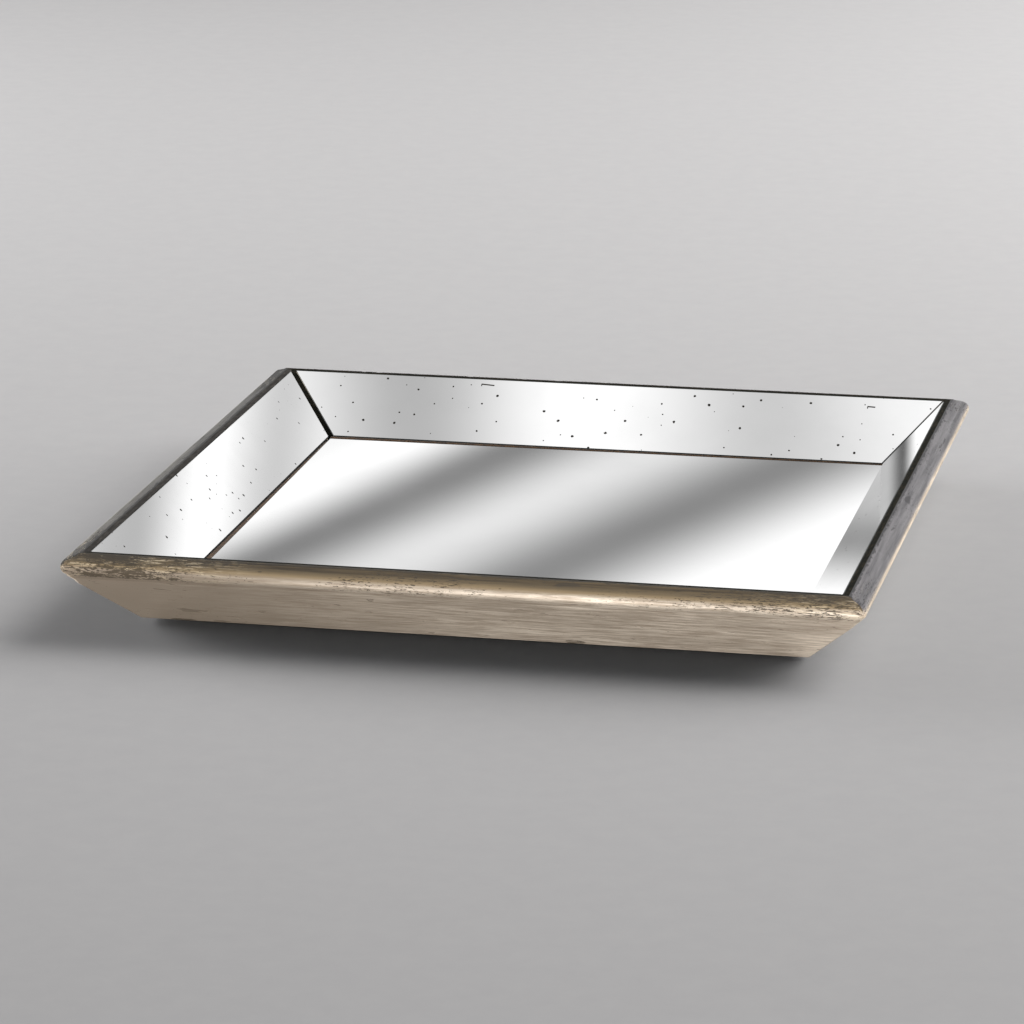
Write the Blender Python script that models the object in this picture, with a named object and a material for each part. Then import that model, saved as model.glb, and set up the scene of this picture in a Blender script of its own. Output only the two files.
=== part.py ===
"""Square mirrored vanity tray: four mitred wooden rails that flare at 45 degrees, lined with
antiqued mirror panels, round a mirrored floor on a hardboard base.

Metres, +Z up. The origin is the centre of the tray's footprint, on the surface it stands on.
The front rail runs along X at the lowest Y; the other rails are the same one, turned by
quarter turns. A point of the moulding's section is (inset, height): inset is measured inwards
from the tray's widest outline, height from the rails' underside.
"""
import math

import bmesh
import bpy
from mathutils import Matrix, Vector

MM = 0.001
GAP = 0.3 * MM                  # clearance between pieces that touch

# Whole tray
SIDE = 450 * MM                 # widest outline, nose to nose, the same both ways
PAD_THICKNESS = 2.2 * MM
UNDERSIDE = PAD_THICKNESS + GAP  # height of the rails' underside over the table

# Moulding section
FOOT_OUTER = 35.5 * MM          # inset of the outer bottom edge
FOOT_INNER = 40.5 * MM          # inset of the wall of the base board's rabbet
QUIRK = (2.8 * MM, 31.9 * MM)   # arris where the flat outer face meets the nose bead
NOSE_RADIUS = 4.8 * MM
NOSE_HEIGHT = 37.0 * MM
NOSE_END = math.radians(235)    # where the bead runs into the quirk
NOSE_STEPS = 7
RIDGE = (10.0 * MM, 44.0 * MM)  # highest line of the rail
LIP_HEIGHT = 43.5 * MM          # top of the glass rabbet, at the inner end of the sight edge

# Glass
GLASS = 3.0 * MM
MIRROR_TOP = (14.5 * MM, 43.6 * MM)
SIDE_TAPE = 0.5 * MM
FLOOR_TOP = 9.3 * MM            # height of the floor mirror's face
MIRROR_FOOT = FLOOR_TOP + 1.2 * MM  # front edge of a side mirror's foot, over the floor mirror

# Base
FELT = 1.0 * MM
BOARD = 3.0 * MM
BOARD_BOTTOM = FELT + GAP
LEDGE = BOARD_BOTTOM + BOARD + GAP
FLOOR_TAPE = FLOOR_TOP - GLASS - LEDGE - GAP

# Fixings
PIN_INSET = 43.2 * MM
PIN_RADIUS = 0.6 * MM
PIN_HEAD_RADIUS = 1.2 * MM
PIN_HEAD = 0.6 * MM
PIN_LENGTH = 6.1 * MM
PIN_POINT = 1.2 * MM
PIN_SIDES = 10
PINS_PER_SIDE = (-120 * MM, 0.0, 120 * MM)
V_NAIL_INSET = 38.0 * MM
V_NAIL_WING = 8.0 * MM
V_NAIL_THICKNESS = 0.6 * MM
V_NAIL_BASE = 0.6 * MM
V_NAIL_HEIGHT = 7.0 * MM
DOWEL_RADIUS = 2.0 * MM
DOWEL_LENGTH = 12.0 * MM
DOWEL_HEIGHT = 24.0 * MM

SIDES = ("front", "right", "back", "left")      # each a quarter turn on from the last
CORNERS = ("front_right", "back_right", "back_left", "front_left")
CORNER_SEAM = {"front_right": 1.0 * MM, "back_right": 1.2 * MM,
               "back_left": 4.4 * MM, "front_left": 1.0 * MM}
# The floor mirror is cut a little out of square: its gaps in X and Y to the side mirrors' feet
FLOOR_SEAM = {"front_right": (0.0, 0.8 * MM), "back_right": (0.0, 0.6 * MM),
              "back_left": (1.2 * MM, 3.0 * MM), "front_left": (3.2 * MM, 0.8 * MM)}
CORNER_SIGNS = {"front_right": (1, -1), "back_right": (1, 1),
                "back_left": (-1, 1), "front_left": (-1, -1)}

# Lines of the section at 45 degrees, where inset + height is constant
MIRROR_LINE = MIRROR_TOP[0] + MIRROR_TOP[1]
GLASS_BACK_LINE = MIRROR_LINE - GLASS * math.sqrt(2)
WALL_LINE = GLASS_BACK_LINE - (SIDE_TAPE + 2 * GAP) * math.sqrt(2)
MIRROR_SLANT = (MIRROR_TOP[1] - MIRROR_FOOT) * math.sqrt(2)

# name: (base colour, roughness, metallic)
MATERIALS = {
    "silver_leaf": ((0.36, 0.31, 0.26), 0.45, 0.6),
    "mirror": ((0.86, 0.87, 0.87), 0.03, 1.0),
    "hardboard": ((0.22, 0.12, 0.06), 0.8, 0.0),
    "felt": ((0.03, 0.03, 0.035), 0.95, 0.0),
    "pad": ((0.05, 0.04, 0.035), 0.95, 0.0),
    "steel": ((0.55, 0.55, 0.56), 0.35, 1.0),
    "beech": ((0.55, 0.38, 0.22), 0.6, 0.0),
    "tape": ((0.75, 0.75, 0.72), 0.7, 0.0),
}


def clear_scene():
    for obj in list(bpy.data.objects):
        bpy.data.objects.remove(obj)


def material(name):
    found = bpy.data.materials.get(name)
    if found:
        return found
    colour, roughness, metallic = MATERIALS[name]
    made = bpy.data.materials.new(name)
    made.use_nodes = True
    shader = made.node_tree.nodes["Principled BSDF"]
    shader.inputs["Base Color"].default_value = (*colour, 1.0)
    shader.inputs["Roughness"].default_value = roughness
    shader.inputs["Metallic"].default_value = metallic
    return made


def add_object(name, bm, material_name=None, smooth=False):
    bmesh.ops.recalc_face_normals(bm, faces=bm.faces)
    mesh = bpy.data.meshes.new(name)
    bm.to_mesh(mesh)
    bm.free()
    if smooth:
        mesh.shade_smooth()
        mesh.set_sharp_from_angle(angle=math.radians(30))
    obj = bpy.data.objects.new(name, mesh)
    bpy.context.collection.objects.link(obj)
    if material_name:
        mesh.materials.append(material(material_name))
    return obj


def add_box(bm, low, high):
    """A box between two corners."""
    low, high = Vector(low), Vector(high)
    place = Matrix.Translation((low + high) / 2) @ Matrix.Diagonal((*(high - low), 1.0))
    bmesh.ops.create_cube(bm, size=1.0, matrix=place)


def add_rod(bm, radius, length, place, sides=12):
    """A cylinder along its own Z, centred, moved by the matrix place."""
    bmesh.ops.create_cone(bm, cap_ends=True, segments=sides, radius1=radius, radius2=radius,
                          depth=length, matrix=place)


def add_prism(bm, outline, low, height):
    """Raise an outline of (x, y) points from z = low."""
    base = bm.faces.new([bm.verts.new((x, y, low)) for x, y in outline])
    raised = bmesh.ops.extrude_face_region(bm, geom=[base])
    tops = [item for item in raised["geom"] if isinstance(item, bmesh.types.BMVert)]
    bmesh.ops.translate(bm, verts=tops, vec=(0.0, 0.0, height))


def quarter_turn(obj, side):
    obj.rotation_euler.z = math.radians(90) * SIDES.index(side)


def front_y(inset):
    return inset - SIDE / 2


def rail_section():
    """The rail's outline, from the outer bottom edge round by the nose and the glass rabbet."""
    centre = (NOSE_RADIUS, NOSE_HEIGHT)
    to_ridge = (RIDGE[0] - centre[0], RIDGE[1] - centre[1])
    tangent = math.atan2(to_ridge[1], to_ridge[0]) + math.acos(NOSE_RADIUS / math.hypot(*to_ridge))
    points = [(FOOT_OUTER, 0.0), QUIRK]
    for step in range(NOSE_STEPS + 1):
        angle = NOSE_END + (tangent - NOSE_END) * step / NOSE_STEPS
        points.append((centre[0] + NOSE_RADIUS * math.cos(angle),
                       centre[1] + NOSE_RADIUS * math.sin(angle)))
    points.append(RIDGE)
    rabbet_line = MIRROR_TOP[0] - MIRROR_TOP[1] - GAP * math.sqrt(2)  # inset - height
    points.append((LIP_HEIGHT + rabbet_line, LIP_HEIGHT))
    points.append(((WALL_LINE + rabbet_line) / 2, (WALL_LINE - rabbet_line) / 2))
    points.append((WALL_LINE - LEDGE, LEDGE))
    points.append((FOOT_INNER, LEDGE))
    points.append((FOOT_INNER, 0.0))
    return points


def rail_mesh():
    """The front rail: the section extruded from mitre to mitre."""
    setback = GAP / math.sqrt(2)
    bm = bmesh.new()
    ends = []
    for direction in (-1, 1):
        ends.append([bm.verts.new((direction * (SIDE / 2 - inset - setback), front_y(inset),
                                   UNDERSIDE + height))
                     for inset, height in rail_section()])
    left, right = ends
    count = len(left)
    for i in range(count):
        j = (i + 1) % count
        bm.faces.new((left[i], left[j], right[j], right[i]))
    bm.faces.new(left)
    bm.faces.new(reversed(right))
    return bm


def dowel_place(direction):
    """The matrix that lays a rod across the front rail's mitre at its left (-1) or right (+1)."""
    outer = FOOT_OUTER - DOWEL_HEIGHT * (FOOT_OUTER - QUIRK[0]) / QUIRK[1]
    inset = (outer + WALL_LINE - DOWEL_HEIGHT) / 2
    across = Vector((1.0, direction, 0.0)).to_track_quat("Z", "Y").to_matrix().to_4x4()
    return Matrix.Translation((direction * (SIDE / 2 - inset), front_y(inset),
                               UNDERSIDE + DOWEL_HEIGHT)) @ across


def add_v_nail(bm, direction, grow=0.0):
    """Both wings of the V nail at the front rail's left (-1) or right (+1) end."""
    half = V_NAIL_THICKNESS / 2 + grow
    far = V_NAIL_INSET + V_NAIL_WING + grow
    low = UNDERSIDE + (-1 * MM if grow else V_NAIL_BASE)  # a slot opens through the underside
    high = UNDERSIDE + V_NAIL_BASE + V_NAIL_HEIGHT + grow
    near = V_NAIL_INSET - half
    inner = near + 2 * half
    insets = [(near, near), (far, near), (far, inner), (inner, inner), (inner, far), (near, far)]
    outline = [(direction * (SIDE / 2 - x), front_y(y)) for x, y in insets]
    add_prism(bm, outline, low, high - low)


def pin_places():
    for along in PINS_PER_SIDE:
        yield Vector((along, front_y(PIN_INSET), UNDERSIDE + BOARD_BOTTOM))


def cut(target, cutter):
    """Subtract the cutter, which stays in the scene as a hidden guide."""
    cutter.parent = target
    cutter.hide_render = True
    cutter.display_type = "WIRE"
    boolean = target.modifiers.new("cut", "BOOLEAN")
    boolean.operation = "DIFFERENCE"
    boolean.solver = "EXACT"
    boolean.object = cutter


def rail_cutter(side):
    """Blind holes for the dowels and pins and slots for the V nails of one rail."""
    bm = bmesh.new()
    for direction in (-1, 1):
        add_rod(bm, DOWEL_RADIUS + GAP, DOWEL_LENGTH + 2 * GAP, dowel_place(direction))
        add_v_nail(bm, direction, grow=GAP)
    depth = PIN_LENGTH + GAP
    for head in pin_places():
        middle = head + Vector((0, 0, depth / 2))
        add_rod(bm, PIN_RADIUS + GAP, depth, Matrix.Translation(middle), PIN_SIDES)
    return add_object(side + "_rail_cutter", bm)


def make_rails():
    for side in SIDES:
        rail = add_object(side + "_rail", rail_mesh(), "silver_leaf", smooth=True)
        quarter_turn(rail, side)
        cut(rail, rail_cutter(side))


def mirror_point(along, slant, depth):
    """A point on the front mirror: along X, slant up its face from its foot, depth into it."""
    inset = MIRROR_LINE - MIRROR_FOOT - (slant + depth) / math.sqrt(2)
    height = MIRROR_FOOT + (slant - depth) / math.sqrt(2)
    return (along, front_y(inset), UNDERSIDE + height)


def mirror_half_length(slant, seam):
    """Half the front mirror's length at a slant height, less its half of a corner seam."""
    inset = MIRROR_LINE - MIRROR_FOOT - slant / math.sqrt(2)
    return SIDE / 2 - inset - seam / 2 * math.sqrt(1.5)


def add_slab(bm, slants, depths, seams=(0.0, 0.0), trim=0.0):
    """A flat piece parallel to the front mirror, with ends that follow its slanting edges."""
    corners = []
    for depth in depths:
        for slant, way in ((slants[0], -1), (slants[0], 1), (slants[1], 1), (slants[1], -1)):
            seam = seams[0] if way < 0 else seams[1]
            along = way * (mirror_half_length(slant, seam) - trim)
            corners.append(bm.verts.new(mirror_point(along, slant, depth)))
    front, back = corners[:4], corners[4:]
    bm.faces.new(front)
    bm.faces.new(reversed(back))
    for i in range(4):
        j = (i + 1) % 4
        bm.faces.new((front[j], front[i], back[i], back[j]))


def make_side_mirrors():
    for number, side in enumerate(SIDES):
        left_seam = CORNER_SEAM[CORNERS[number - 1]]
        right_seam = CORNER_SEAM[CORNERS[number]]
        bm = bmesh.new()
        add_slab(bm, (0.0, MIRROR_SLANT), (0.0, GLASS), (left_seam, right_seam))
        quarter_turn(add_object(side + "_mirror", bm, "mirror"), side)


def make_side_tapes():
    """Two strips of double-sided tape hold each side mirror to its rail."""
    width = 12 * MM
    trim = 15 * MM
    depths = (GLASS + GAP, GLASS + GAP + SIDE_TAPE)
    for side in SIDES:
        for place, middle in (("lower", 0.25), ("upper", 0.75)):
            centre = MIRROR_SLANT * middle
            bm = bmesh.new()
            add_slab(bm, (centre - width / 2, centre + width / 2), depths, trim=trim)
            quarter_turn(add_object(f"{side}_mirror_tape_{place}", bm, "tape"), side)


def make_floor_mirror():
    half = SIDE / 2 - (MIRROR_LINE - MIRROR_FOOT)
    outline = []
    for corner in CORNERS:
        (sign_x, sign_y), (gap_x, gap_y) = CORNER_SIGNS[corner], FLOOR_SEAM[corner]
        outline.append((sign_x * (half - gap_x), sign_y * (half - gap_y)))
    bm = bmesh.new()
    add_prism(bm, outline, UNDERSIDE + FLOOR_TOP - GLASS, GLASS)
    add_object("floor_mirror", bm, "mirror")


def make_floor_tapes():
    """Four strips of foam tape bed the floor mirror on the base board."""
    half_length = 150 * MM
    half_width = 10 * MM
    low = UNDERSIDE + LEDGE
    for number, y in enumerate((-135 * MM, -45 * MM, 45 * MM, 135 * MM), start=1):
        bm = bmesh.new()
        add_box(bm, (-half_length, y - half_width, low),
                (half_length, y + half_width, low + FLOOR_TAPE))
        add_object(f"floor_tape_{number}", bm, "tape")


def make_base_board():
    """Hardboard panel in the rails' rabbet, drilled for the pins and counterbored for heads."""
    half = SIDE / 2 - FOOT_INNER - GAP
    low = UNDERSIDE + BOARD_BOTTOM
    bm = bmesh.new()
    add_box(bm, (-half, -half, low), (half, half, low + BOARD))
    board = add_object("base_board", bm, "hardboard")
    bm = bmesh.new()
    for number in range(len(SIDES)):
        turn = Matrix.Rotation(math.radians(90) * number, 4, "Z")
        for head in pin_places():
            add_rod(bm, PIN_RADIUS + GAP, 4 * BOARD, turn @ Matrix.Translation(head), PIN_SIDES)
    cut(board, add_object("board_hole_cutter", bm))
    bm = bmesh.new()
    for number in range(len(SIDES)):
        turn = Matrix.Rotation(math.radians(90) * number, 4, "Z")
        for head in pin_places():
            add_rod(bm, PIN_HEAD_RADIUS + GAP, 2 * (PIN_HEAD + GAP),
                    turn @ Matrix.Translation(head), PIN_SIDES)
    cut(board, add_object("board_counterbore_cutter", bm))


def pin_mesh():
    """A round-headed panel pin, turned about Z, its head's face at the origin."""
    profile = [(0.0, 0.0), (PIN_HEAD_RADIUS, 0.0), (PIN_HEAD_RADIUS, PIN_HEAD * 0.6),
               (PIN_RADIUS, PIN_HEAD), (PIN_RADIUS, PIN_LENGTH - PIN_POINT), (0.0, PIN_LENGTH)]
    bm = bmesh.new()
    verts = [bm.verts.new((radius, 0.0, height)) for radius, height in profile]
    edges = [bm.edges.new(pair) for pair in zip(verts, verts[1:])]
    bmesh.ops.spin(bm, geom=verts + edges, cent=(0, 0, 0), axis=(0, 0, 1),
                   angle=math.radians(360), steps=PIN_SIDES)
    bmesh.ops.remove_doubles(bm, verts=bm.verts, dist=0.01 * MM)
    return bm


def make_pins():
    for number, side in enumerate(SIDES):
        turn = Matrix.Rotation(math.radians(90) * number, 4, "Z")
        for place, head in enumerate(pin_places(), start=1):
            pin = add_object(f"{side}_board_pin_{place}", pin_mesh(), "steel", smooth=True)
            pin.location = turn @ head


def make_corner_fixings():
    """A V nail from below and a hidden dowel hold each mitre."""
    for number, corner in enumerate(CORNERS):
        bm = bmesh.new()
        add_v_nail(bm, 1)
        nail = add_object(corner + "_v_nail", bm, "steel")
        nail.rotation_euler.z = math.radians(90) * number
        bm = bmesh.new()
        add_rod(bm, DOWEL_RADIUS, DOWEL_LENGTH, dowel_place(1))
        dowel = add_object(corner + "_dowel", bm, "beech", smooth=True)
        dowel.rotation_euler.z = math.radians(90) * number


def make_felt():
    half = SIDE / 2 - FOOT_INNER - 2 * GAP
    bm = bmesh.new()
    add_box(bm, (-half, -half, UNDERSIDE), (half, half, UNDERSIDE + FELT))
    add_object("backing_felt", bm, "felt")


def make_pads():
    """A round felt pad under each corner carries the tray."""
    radius = 11 * MM
    inset = 56 * MM
    for number, corner in enumerate(CORNERS):
        bm = bmesh.new()
        place = Matrix.Translation((SIDE / 2 - inset, inset - SIDE / 2, PAD_THICKNESS / 2))
        add_rod(bm, radius, PAD_THICKNESS, place, 24)
        pad = add_object(corner + "_foot_pad", bm, "pad", smooth=True)
        pad.rotation_euler.z = math.radians(90) * number


def main():
    clear_scene()
    make_rails()
    make_side_mirrors()
    make_side_tapes()
    make_floor_mirror()
    make_floor_tapes()
    make_base_board()
    make_pins()
    make_corner_fixings()
    make_felt()
    make_pads()


main()
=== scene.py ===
"""Looks of a square mirrored vanity tray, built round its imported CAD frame.

The four rails are one silver-leafed moulding, modelled as the front rail, along X at the lowest
Y, and turned by quarter turns. A point of its section is (inset, height): inset is measured
inwards from the tray's widest outline and height from the rails' underside.
"""
import math
import random

import bmesh
import bpy
from mathutils import Matrix, Vector, noise


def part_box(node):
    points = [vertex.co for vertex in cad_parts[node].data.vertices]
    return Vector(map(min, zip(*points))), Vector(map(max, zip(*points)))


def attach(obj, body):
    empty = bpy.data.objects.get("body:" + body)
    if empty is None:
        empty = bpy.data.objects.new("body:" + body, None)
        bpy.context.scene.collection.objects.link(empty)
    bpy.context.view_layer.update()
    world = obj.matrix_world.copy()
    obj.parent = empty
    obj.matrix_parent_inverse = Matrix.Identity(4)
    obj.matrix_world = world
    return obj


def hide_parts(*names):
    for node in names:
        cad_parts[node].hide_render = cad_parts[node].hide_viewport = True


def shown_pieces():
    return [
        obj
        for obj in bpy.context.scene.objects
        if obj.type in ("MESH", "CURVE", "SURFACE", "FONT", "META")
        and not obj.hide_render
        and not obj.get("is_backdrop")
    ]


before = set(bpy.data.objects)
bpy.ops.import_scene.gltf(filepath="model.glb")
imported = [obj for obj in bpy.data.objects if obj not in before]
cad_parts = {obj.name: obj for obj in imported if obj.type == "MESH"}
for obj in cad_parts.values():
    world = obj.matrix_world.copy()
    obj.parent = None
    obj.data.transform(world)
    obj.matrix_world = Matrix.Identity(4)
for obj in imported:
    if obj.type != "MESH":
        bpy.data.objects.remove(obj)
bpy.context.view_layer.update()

MM = 0.001
SIDES = ("front", "right", "back", "left")
CORNERS = ("front_right", "back_right", "back_left", "front_left")
QUARTER_TURN = math.radians(90)

# Driving places, from the frame
RAIL_LOW, RAIL_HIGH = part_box("front_rail")
HALF_SIDE = -RAIL_LOW.y
UNDERSIDE = RAIL_LOW.z
FLOOR_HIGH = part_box("floor_mirror")[1]

# Moulding section, as in the CAD
FOOT_OUTER = 35.5 * MM
FOOT_INNER = 40.5 * MM
LEDGE = 4.6 * MM
QUIRK = (2.8 * MM, 31.9 * MM)
NOSE_RADIUS = 4.8 * MM
NOSE_HEIGHT = 37.0 * MM
NOSE_END = math.radians(235)    # where the nose's arc meets the quirk
RIDGE = (10.0 * MM, RAIL_HIGH.z - UNDERSIDE)
LIP = (14.0 * MM, 43.5 * MM)
RABBET_TOP = (11.4 * MM, 40.9 * MM)
WALL_FOOT = (47.7 * MM, LEDGE)
NOSE_Z = UNDERSIDE + NOSE_HEIGHT
QUIRK_Z = UNDERSIDE + QUIRK[1]
ARRIS = 0.5 * MM                # small rounding of the moulding's edges
LIP_ROUNDING = 0.8 * MM
MITRE_SETBACK = 0.2 * MM

# Wear of the moulding's shape
WORN_CORNER = 4.5 * MM          # radius in plan of the bead's corners
FACE_CORNER = 1.2 * MM          # radius in plan of the flat face's corners
WAVE_DEPTH = 0.14 * MM          # of the hand-finished unevenness
DENT_COUNT = 26                 # on each rail
DENT_INSET = 12.0 * MM          # past which the moulding has no dents

# Steps that the visible meshes are cut into
FACE_STEPS = 12
NOSE_STEPS = 16
BEAD_STEPS = 60
FELT_STEPS = 90
PAD_STEPS = 48

# Waves per metre of the leaf's and the paint's noises: along the moulding, across it and up it
BRUSHED_GRAIN = (42, 760, 760)
CLOUD_GRAIN = (11, 45, 45)
STREAK_GRAIN = (14, 330, 330)
SCRATCH_GRAIN = (110, 1500, 1500)
FLECK_GRAIN = (380, 1500, 1500)
PATCH_GRAIN = (20, 60, 60)
RAGGED_GRAIN = (150, 500, 500)
SMUDGE_GRAIN = (48, 170, 170)
RUBBED_GRAIN = (75, 900, 900)
DUST_GRAIN = (160, 700, 700)

# Dark scuffs on the front rail's face: (along, height), and reach each way
FRONT_SCUFFS = (((0.060, 4.0 * MM), (7.0 * MM, 2.2 * MM)),
                ((-0.049, 29.5 * MM), (2.6 * MM, 1.6 * MM)),
                ((-0.164, 3.2 * MM), (9.0 * MM, 1.0 * MM)))

# Side mirrors: the share of their cells that have a speck, and cells per metre
SPECK_SHARE = {"front": 0.4, "right": 0.12, "back": 0.45, "left": 0.4}
SPECK_CELLS = 95.0
PLATE_ARRIS = 0.25 * MM

# Two short hooked scratches on the back mirror: (x, y) of the hook, length, slope
BACK_SCRATCHES = (((0.0845, -0.2079), 8.0 * MM, math.radians(177)),
                  ((-0.1634, -0.2058), 4.5 * MM, math.radians(178)))

# Bead of mastic round the floor mirror
BEAD_DEPTH = 2.6 * MM           # of its underside below the floor mirror's face
BEAD_OUTER = 46.0 * MM          # inset of its outer edge, under the side mirrors' feet
BEAD_LUMPS = 0.25 * MM          # unevenness of its outer edge

# Felt underneath
FELT_MATTING = 0.25 * MM        # unevenness of the sheet's lower face
FELT_TRIM = 0.5 * MM            # unevenness of its hand-cut edge
PAD_PRESSING = 0.012            # unevenness of a pad's rim, as a share of its radius

# Studio, in the tray's frame
TABLE_REACH = 15.0              # half the pale floor's side
CARD_LIFT = 2 * MM              # of the cards that lie on the table
BACK_CARD_Y = 1.8
OVERHEAD_CARD_Z = 1.2

# Camera, in the tray's frame
CAMERA_PLACE = Vector((0.54340, -2.47318, 0.74180))
CAMERA_YAW = math.radians(12.797)
CAMERA_DROP = math.radians(15.876)
CAMERA_ROLL = math.radians(-0.48)
CAMERA_LENS = 156.74            # mm
CAMERA_SENSOR = 36.0            # mm


# ---------------------------------------------------------------- materials

def new_material(name):
    made = bpy.data.materials.new(name)
    made.use_nodes = True
    return made, made.node_tree, made.node_tree.nodes["Principled BSDF"]


def node(tree, kind, inputs=None, **settings):
    """Add a node; an input may be a value or another node's output socket."""
    made = tree.nodes.new("ShaderNode" + kind)
    for key, value in settings.items():
        setattr(made, key, value)
    for key, value in (inputs or {}).items():
        if isinstance(value, bpy.types.NodeSocket):
            tree.links.new(value, made.inputs[key])
        else:
            made.inputs[key].default_value = value
    return made


def math_of(tree, operation, *values):
    return node(tree, "Math", dict(enumerate(values)), operation=operation).outputs[0]


def place_on(tree, scale=(1, 1, 1), shift=(0, 0, 0)):
    """Object coordinates, scaled and shifted."""
    coordinates = node(tree, "TexCoord").outputs["Object"]
    return node(tree, "Mapping", {"Vector": coordinates, "Location": shift,
                                  "Scale": scale}).outputs[0]


def split(tree, vector):
    """The x, y and z of a vector."""
    return node(tree, "SeparateXYZ", {"Vector": vector}).outputs


def noise_of(tree, vector, scale, detail=3.0, roughness=0.5, distortion=0.0):
    return node(tree, "TexNoise", {"Vector": vector, "Scale": scale, "Detail": detail,
                                   "Roughness": roughness,
                                   "Distortion": distortion}).outputs["Fac"]


def grained(tree, grain, shift, detail, roughness, distortion=0.0):
    """Noise stretched along the moulding by one of the grains above."""
    return noise_of(tree, place_on(tree, grain, shift), 1.0, detail, roughness, distortion)


def ramp(tree, factor, low, high, to_low=0.0, to_high=1.0, smooth=True):
    """Map a value from low..high to to_low..to_high, clamped."""
    kind = "SMOOTHSTEP" if smooth else "LINEAR"
    return node(tree, "MapRange", {"Value": factor, "From Min": low, "From Max": high,
                                   "To Min": to_low, "To Max": to_high},
                interpolation_type=kind).outputs["Result"]


def blend_value(tree, factor, first, second):
    return node(tree, "Mix", {0: factor, 2: first, 3: second}, data_type="FLOAT").outputs[0]


def blend_colour(tree, factor, first, second):
    return node(tree, "Mix", {0: factor, 6: first, 7: second}, data_type="RGBA").outputs[2]


def link(tree, source, target):
    tree.links.new(source, target)


def bump(tree, height, distance, strength):
    return node(tree, "Bump", {"Height": height, "Distance": distance,
                               "Strength": strength}).outputs[0]


def rgb(red, green, blue):
    """A display colour, 0 to 255, as the shaders' linear one."""
    def linear(value):
        value /= 255
        return value / 12.92 if value <= 0.04045 else ((value + 0.055) / 1.055) ** 2.4
    return (linear(red), linear(green), linear(blue), 1.0)


def scuff(tree, centre, reach, grain):
    """A dark rub round a point of the front moulding's face, (along, height), broken by its grain."""
    along, _, height = split(tree, node(tree, "TexCoord").outputs["Object"])
    squares = []
    for value, middle, half in ((along, centre[0], reach[0]), (height, centre[1], reach[1])):
        offset = math_of(tree, "DIVIDE", math_of(tree, "SUBTRACT", value, middle), half)
        squares.append(math_of(tree, "MULTIPLY", offset, offset))
    inside = ramp(tree, math_of(tree, "ADD", *squares), 0.4, 1.0, 1.0, 0.0)
    return math_of(tree, "MULTIPLY", inside, ramp(tree, grain, 0.42, 0.5))


def leaf_colour(tree, along, brushed, offset, look):
    """Short brushed streaks over soft clouds, with painted shade that darkens the face towards the
    left end as far as the look says.
    """
    shaded, light, clouded = look["face"]
    cloud = grained(tree, CLOUD_GRAIN, (offset + 7, 0, 0), 4, 0.6)
    leaf = blend_colour(tree, ramp(tree, brushed, 0.36, 0.64), shaded, light)
    leaf = blend_colour(tree, ramp(tree, cloud, 0.35, 0.75, 0.0, 0.5), leaf, clouded)
    # painted shade: the face darkens towards the left end, away from the light
    return blend_colour(tree, ramp(tree, along, 0.1, -0.21, 0.0, look["painted_left_shade"]), leaf, clouded)


def top_colour(tree, height, brushed, offset, look):
    """The worn sloping top: long streaks, in tones that differ by side as painted light and
    reflection, and painted light that lightens it towards the nose.
    """
    dark, light = look["top"]
    streaks = grained(tree, STREAK_GRAIN, (offset + 3, 4, 0), 4, 0.65)
    top = blend_colour(tree, ramp(tree, streaks, 0.32, 0.68), dark, light)
    top = blend_colour(tree, ramp(tree, brushed, 0.35, 0.7, 0.0, 0.35), top, light)
    if "nose_painted_light" not in look:
        return top
    # painted light: the top turns lighter towards the nose, where it faces the light
    nose_light_mask = ramp(tree, height, NOSE_Z + 6.0 * MM, NOSE_Z + 2.0 * MM)
    return blend_colour(tree, nose_light_mask, top, look["nose_painted_light"])


def handled(tree, along, look):
    """How far each stretch of the moulding is worn by handling: most at its ends."""
    ends = ramp(tree, math_of(tree, "ABSOLUTE", along), 0.14, 0.215)
    heavy = math_of(tree, "MULTIPLY", ends, look["ends"])
    if "left" not in look:
        return heavy
    return math_of(tree, "MAXIMUM", heavy, ramp(tree, along, -0.09, -0.17, 0.0, look["left"]))


def clay_flecks(tree, scratch, heavy, on_bead, offset, look):
    """Short scratches and flecks down to the dark clay, thick where the moulding is handled."""
    fleck = grained(tree, FLECK_GRAIN, (offset + 1, 5, 2), 3, 0.6)
    patch = grained(tree, PATCH_GRAIN, (offset + 2, 0, 4), 3, 0.6)
    amount = math_of(tree, "ADD", ramp(tree, patch, 0.3, 0.66, 0.0, look["wear"]), heavy)
    on_face = ramp(tree, on_bead, 0.0, 1.0, look["face_wear"], 1.0)
    amount = math_of(tree, "MULTIPLY", amount, on_face)
    shown = math_of(tree, "MAXIMUM", scratch, fleck)
    limit = math_of(tree, "SUBTRACT", 0.73, math_of(tree, "MULTIPLY", amount, 0.2))
    return ramp(tree, math_of(tree, "SUBTRACT", shown, limit), -0.01, 0.07)


def clay_border(tree, across, height, offset):
    """Clay in a ragged line beside the sight edge."""
    ragged = grained(tree, RAGGED_GRAIN, (offset, 9, 0), 3, 0.6)
    border = math_of(tree, "ADD", across, ramp(tree, ragged, 0.25, 0.75, -1.0 * MM, 1.0 * MM))
    sight_y = RIDGE[0] - HALF_SIDE
    beside = ramp(tree, border, sight_y - 1.0 * MM, sight_y - 0.4 * MM)
    on_slope = ramp(tree, height, NOSE_Z + 2 * MM, NOSE_Z + 3 * MM)
    return math_of(tree, "MULTIPLY", math_of(tree, "MULTIPLY", beside, on_slope), 0.85)


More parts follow.
